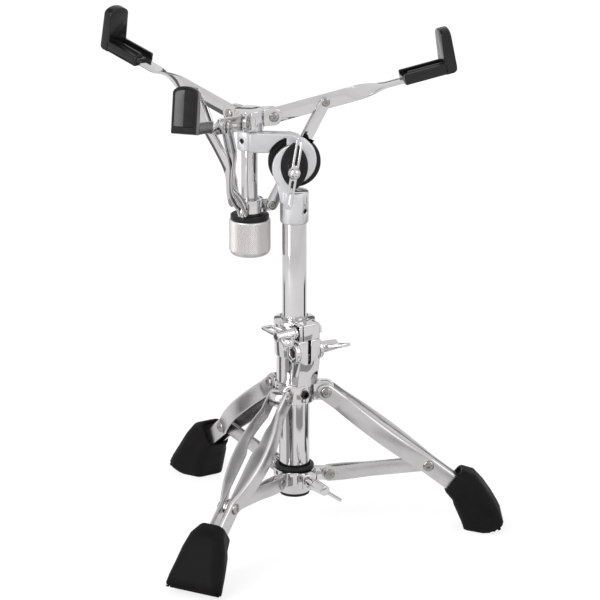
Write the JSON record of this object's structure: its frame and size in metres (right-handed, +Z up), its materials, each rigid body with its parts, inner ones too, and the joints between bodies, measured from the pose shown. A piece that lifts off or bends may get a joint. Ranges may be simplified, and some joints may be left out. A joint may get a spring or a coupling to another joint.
{
  "type": "snare drum stand",
  "caption": "Folding tripod snare drum stand with a telescopic tube, a height clamp, a disc tilter and a basket whose gripping arms close by a knurled nut.",
  "frame": {"origin": "on the floor, under the axis of the base tube", "axes": "+Z up along the tube, +X along the right leg, +Y away from the picture's camera"},
  "size_m": [0.4283, 0.4102, 0.527],
  "materials": {
    "chrome": "bright chrome plate",
    "satin_casting": "satin plated casting",
    "dark_steel": "black oxide steel",
    "foot_rubber": "matte moulded rubber",
    "grip_plastic": "semi-gloss black moulding",
    "black_nylon": "satin black nylon"
  },
  "bodies": {
    "base": {"base_tube": "chrome", "base_tube_plug": "black_nylon", "leg_collar": "chrome", "leg_collar_screws": "dark_steel", "height_clamp": "chrome", "clamp_bushing": "black_nylon", "clamp_bolt": "dark_steel"},
    "clamp_wing_nut": {"clamp_wing_nut": "chrome"},
    "spreader": {"spreader_collar": "chrome", "spreader_bush": "black_nylon", "spreader_rivets": "chrome"},
    "spreader_wing_bolt": {"spreader_wing_bolt": "chrome"},
    "leg_right": {"leg_plate_right_a": "chrome", "leg_plate_right_b": "chrome", "leg_rivets_right": "chrome", "foot_right": "foot_rubber"},
    "brace_right": {"brace_right": "chrome"},
    "leg_rear": {"leg_plate_rear_a": "chrome", "leg_plate_rear_b": "chrome", "leg_rivets_rear": "chrome", "foot_rear": "foot_rubber"},
    "brace_rear": {"brace_rear": "chrome"},
    "leg_front": {"leg_plate_front_a": "chrome", "leg_plate_front_b": "chrome", "leg_rivets_front": "chrome", "foot_front": "foot_rubber"},
    "brace_front": {"brace_front": "chrome"},
    "memory_lock": {"memory_lock": "chrome", "lock_bolt": "chrome"},
    "lock_wing_nut": {"lock_wing_nut": "chrome"},
    "upper_tube": {"upper_tube": "chrome", "tilter_base": "satin_casting", "tilter_base_screw": "dark_steel", "brake_disc": "black_nylon", "brake_pad": "black_nylon", "tilter_stud": "chrome", "tilter_nut": "dark_steel"},
    "tilter_wing_nut": {"tilter_wing_nut": "chrome"},
    "basket": {"basket_holder": "satin_casting", "basket_holder_screw": "dark_steel", "basket_rod": "chrome", "basket_hub": "chrome", "basket_hub_pins": "chrome"},
    "basket_spider": {"basket_spider": "chrome", "basket_spider_rivets": "chrome", "basket_washer": "black_nylon"},
    "basket_nut": {"basket_nut": "chrome"},
    "basket_arm_right": {"basket_arm_right": "chrome", "basket_grip_right": "grip_plastic"},
    "basket_link_right": {"basket_link_right": "chrome", "basket_link_rivets_right": "chrome"},
    "basket_arm_left": {"basket_arm_left": "chrome", "basket_grip_left": "grip_plastic"},
    "basket_link_left": {"basket_link_left": "chrome", "basket_link_rivets_left": "chrome"},
    "basket_arm_front": {"basket_arm_front": "chrome", "basket_grip_front": "grip_plastic"},
    "basket_link_front": {"basket_link_front": "chrome", "basket_link_rivets_front": "chrome"}
  },
  "joints": [
    {"name": "spreader_slide", "type": "slide", "parent": "base", "child": "spreader", "axis": [0, 0, 1], "range_m": [0, 0.0611]},
    {"name": "leg_right_fold", "type": "hinge", "parent": "base", "child": "leg_right", "pos_m": [0.03259, 0.00085, 0.1546], "axis": [-0.0262, 0.9997, 0], "range_deg": [0, 49.05]},
    {"name": "brace_right_fold", "type": "hinge", "parent": "spreader", "child": "brace_right", "pos_m": [0.03639, 0.00095, 0.0616], "axis": [-0.0262, 0.9997, 0], "range_deg": [0, 93.06]},
    {"name": "leg_rear_fold", "type": "hinge", "parent": "base", "child": "leg_rear", "pos_m": [-0.01703, 0.0278, 0.1546], "axis": [-0.8526, -0.5225, 0], "range_deg": [0, 49.05]},
    {"name": "brace_rear_fold", "type": "hinge", "parent": "spreader", "child": "brace_rear", "pos_m": [-0.01902, 0.03104, 0.0616], "axis": [-0.8526, -0.5225, 0], "range_deg": [0, 93.06]},
    {"name": "leg_front_fold", "type": "hinge", "parent": "base", "child": "leg_front", "pos_m": [-0.01555, -0.02865, 0.1546], "axis": [0.8788, -0.4772, 0], "range_deg": [0, 49.05]},
    {"name": "brace_front_fold", "type": "hinge", "parent": "spreader", "child": "brace_front", "pos_m": [-0.01737, -0.03199, 0.0616], "axis": [0.8788, -0.4772, 0], "range_deg": [0, 93.06]},
    {"name": "spreader_wing_bolt_turn", "type": "hinge", "parent": "spreader", "child": "spreader_wing_bolt", "pos_m": [0.01634, -0.02516, 0.0601], "axis": [0.5446, -0.8387, 0], "continuous": true},
    {"name": "clamp_wing_nut_turn", "type": "hinge", "parent": "base", "child": "clamp_wing_nut", "pos_m": [0.01182, -0.0182, 0.2037], "axis": [0.8387, 0.5446, 0], "continuous": true},
    {"name": "height_slide", "type": "slide", "parent": "base", "child": "memory_lock", "axis": [0, 0, 1], "range_m": [0, 0.115]},
    {"name": "lock_wing_nut_turn", "type": "hinge", "parent": "memory_lock", "child": "lock_wing_nut", "pos_m": [0.01182, -0.0182, 0.22515], "axis": [-0.8387, -0.5446, 0], "continuous": true},
    {"name": "swivel", "type": "hinge", "parent": "memory_lock", "child": "upper_tube", "pos_m": [0, 0, 0.2166], "axis": [0, 0, 1], "continuous": true},
    {"name": "tilter_wing_nut_turn", "type": "hinge", "parent": "upper_tube", "child": "tilter_wing_nut", "pos_m": [0, -0.038, 0.3994], "axis": [0, -1, 0], "continuous": true},
    {"name": "tilt", "type": "hinge", "parent": "upper_tube", "child": "basket", "pos_m": [0, 0, 0.3994], "axis": [0, 1, 0], "range_deg": [-3, 65]},
    {"name": "basket_nut_turn", "type": "hinge", "parent": "basket_spider", "child": "basket_nut", "pos_m": [-0.046, 0.015, 0.3367], "axis": [0, 0, 1], "continuous": true},
    {"name": "spider_slide", "type": "slide", "parent": "basket", "child": "basket_spider", "axis": [0, 0, 1], "range_m": [-0.005, 0.01995]},
    {"name": "arm_right_rise", "type": "hinge", "parent": "basket", "child": "basket_arm_right", "pos_m": [-0.02223, 0.02093, 0.4439], "axis": [0.2419, -0.9703, 0], "range_deg": [-7.57, 30.05]},
    {"name": "link_right_lean", "type": "hinge", "parent": "basket_spider", "child": "basket_link_right", "pos_m": [-0.02359, 0.02059, 0.3497], "axis": [0.2419, -0.9703, 0], "range_deg": [-1.78, 6.96]},
    {"name": "arm_left_rise", "type": "hinge", "parent": "basket", "child": "basket_arm_left", "pos_m": [-0.06302, 0.03262, 0.4439], "axis": [0.7193, 0.6947, 0], "range_deg": [-7.57, 30.05]},
    {"name": "link_left_lean", "type": "hinge", "parent": "basket_spider", "child": "basket_link_left", "pos_m": [-0.06205, 0.03162, 0.3497], "axis": [0.7193, 0.6947, 0], "range_deg": [-1.78, 6.96]},
    {"name": "arm_front_rise", "type": "hinge", "parent": "basket", "child": "basket_arm_front", "pos_m": [-0.05275, -0.00855, 0.4439], "axis": [-0.9613, 0.2756, 0], "range_deg": [-7.57, 30.05]},
    {"name": "link_front_lean", "type": "hinge", "parent": "basket_spider", "child": "basket_link_front", "pos_m": [-0.05237, -0.0072, 0.3497], "axis": [-0.9613, 0.2756, 0], "range_deg": [-1.78, 6.96]}
  ],
  "couplings": [
    {"joint": "leg_right_fold", "follows": "spreader_slide", "rad_per_m": 13.997},
    {"joint": "brace_right_fold", "follows": "spreader_slide", "rad_per_m": 26.569},
    {"joint": "leg_rear_fold", "follows": "spreader_slide", "rad_per_m": 13.997},
    {"joint": "brace_rear_fold", "follows": "spreader_slide", "rad_per_m": 26.569},
    {"joint": "leg_front_fold", "follows": "spreader_slide", "rad_per_m": 13.997},
    {"joint": "brace_front_fold", "follows": "spreader_slide", "rad_per_m": 26.569},
    {"joint": "arm_right_rise", "follows": "spider_slide", "rad_per_m": 26.244},
    {"joint": "link_right_lean", "follows": "spider_slide", "rad_per_m": 6.0409},
    {"joint": "arm_left_rise", "follows": "spider_slide", "rad_per_m": 26.244},
    {"joint": "link_left_lean", "follows": "spider_slide", "rad_per_m": 6.0409},
    {"joint": "arm_front_rise", "follows": "spider_slide", "rad_per_m": 26.244},
    {"joint": "link_front_lean", "follows": "spider_slide", "rad_per_m": 6.0409}
  ]
}
